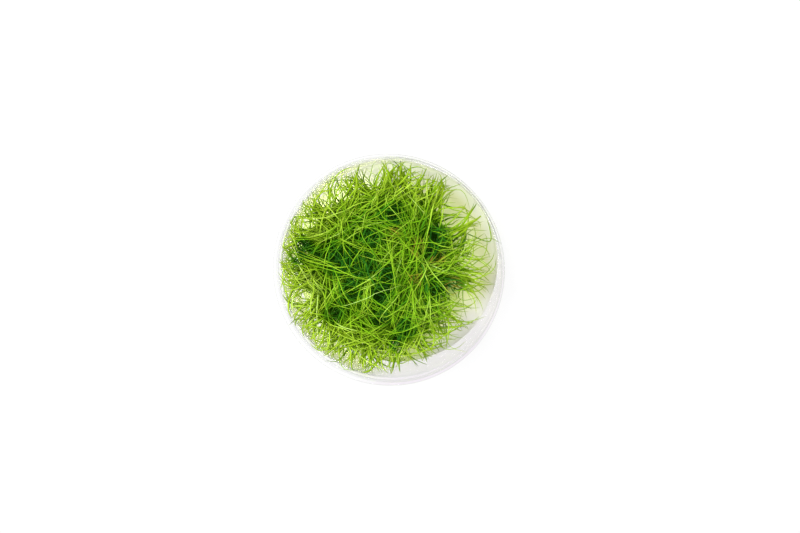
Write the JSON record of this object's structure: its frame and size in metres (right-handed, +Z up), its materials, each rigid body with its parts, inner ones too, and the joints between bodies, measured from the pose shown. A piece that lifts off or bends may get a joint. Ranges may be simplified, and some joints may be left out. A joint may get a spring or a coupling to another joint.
{
  "type": "dwarf hairgrass in vitro cup",
  "caption": "Clear round plant culture cup without its lid, packed with tufts of dwarf hairgrass that grow out of a milky nutrient gel.",
  "frame": {"origin": "centre of the foot ring, on the surface that the cup stands on", "axes": "+Z up through the open mouth, +X to the right and +Y to the top as the cup is seen from above; the bare gel lies towards +X -Y"},
  "size_m": [0.1, 0.1, 0.0575],
  "materials": {
    "clear_plastic": "clear, smooth, glossy",
    "nutrient_gel": "wet, milky, see-through jelly",
    "hairgrass": "fresh green blades, slightly glossy, lighter and yellower at the tips"
  },
  "bodies": {
    "root": {"cup": "clear_plastic", "gel": "nutrient_gel", "tuft_01": "hairgrass", "tuft_02": "hairgrass", "tuft_03": "hairgrass", "tuft_04": "hairgrass", "tuft_05": "hairgrass", "tuft_06": "hairgrass", "tuft_07": "hairgrass", "tuft_08": "hairgrass", "tuft_09": "hairgrass", "tuft_10": "hairgrass", "tuft_11": "hairgrass", "tuft_12": "hairgrass", "tuft_13": "hairgrass", "tuft_14": "hairgrass"}
  },
  "joints": []
}
